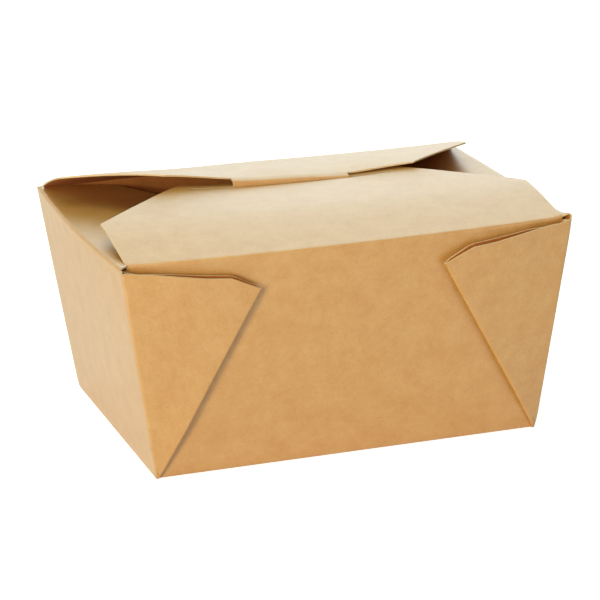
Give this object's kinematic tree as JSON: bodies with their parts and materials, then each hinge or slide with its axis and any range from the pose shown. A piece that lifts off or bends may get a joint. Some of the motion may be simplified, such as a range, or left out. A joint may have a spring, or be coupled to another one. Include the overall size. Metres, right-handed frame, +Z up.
{
  "type": "takeaway box",
  "caption": "Tapered takeaway box folded from kraft board, with webbed corners laid flat on its long walls and a lid flap locked by a tongue in a slit.",
  "frame": {"origin": "middle of the underside of the base", "axes": "+X along the long side, +Y towards the lid flap's crease at the back, +Z up"},
  "size_m": [0.1298, 0.093, 0.0684],
  "materials": {
    "kraft_board": "matt uncoated kraft"
  },
  "bodies": {
    "carton": {"carton": "kraft_board"},
    "back_flap": {"back_flap": "kraft_board"}
  },
  "joints": [
    {"name": "back_flap_crease", "type": "hinge", "parent": "carton", "child": "back_flap", "pos_m": [0, 0.04477, 0.062], "axis": [-1, 0, 0], "range_deg": [0, 180]}
  ]
}
